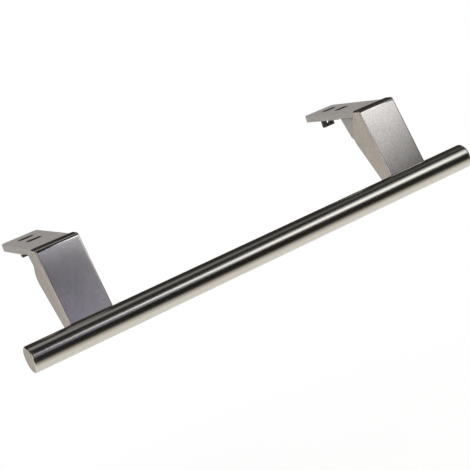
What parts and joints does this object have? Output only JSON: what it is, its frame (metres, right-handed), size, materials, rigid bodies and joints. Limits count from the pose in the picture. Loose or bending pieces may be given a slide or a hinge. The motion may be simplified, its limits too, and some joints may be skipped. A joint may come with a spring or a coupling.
{
  "type": "freezer door handle",
  "caption": "Round satin bar handle on two angled brackets with slotted fixing plates, for the edge of a freezer or refrigerator door.",
  "frame": {"origin": "middle of the four fixing slots, on the seating plane under the two plates", "axes": "+X along the bar, +Y to the rear over the door's edge, +Z out of the plates' upper face"},
  "size_m": [0.316, 0.0946, 0.0602],
  "materials": {
    "satin_bar": "satin stainless steel, brushed round the bar",
    "folded_cover": "satin stainless sheet",
    "zinc_casting": "matt silver-grey coated zinc casting",
    "anchor_brass": "turned",
    "plated_fixings": "bright zinc plated",
    "black_polyamide": "moulded black polyamide"
  },
  "bodies": {
    "root": {"handle_bar": "satin_bar", "end_cap_left": "satin_bar", "end_cap_right": "satin_bar", "bar_anchor_left": "anchor_brass", "bar_anchor_right": "anchor_brass", "bracket_left": "zinc_casting", "bracket_right": "zinc_casting", "arm_cover_left": "folded_cover", "arm_cover_right": "folded_cover", "bar_screw_left": "plated_fixings", "bar_screw_right": "plated_fixings", "lock_washer_left": "plated_fixings", "lock_washer_right": "plated_fixings", "snap_clip_left": "black_polyamide", "snap_clip_right": "black_polyamide"}
  },
  "joints": []
}
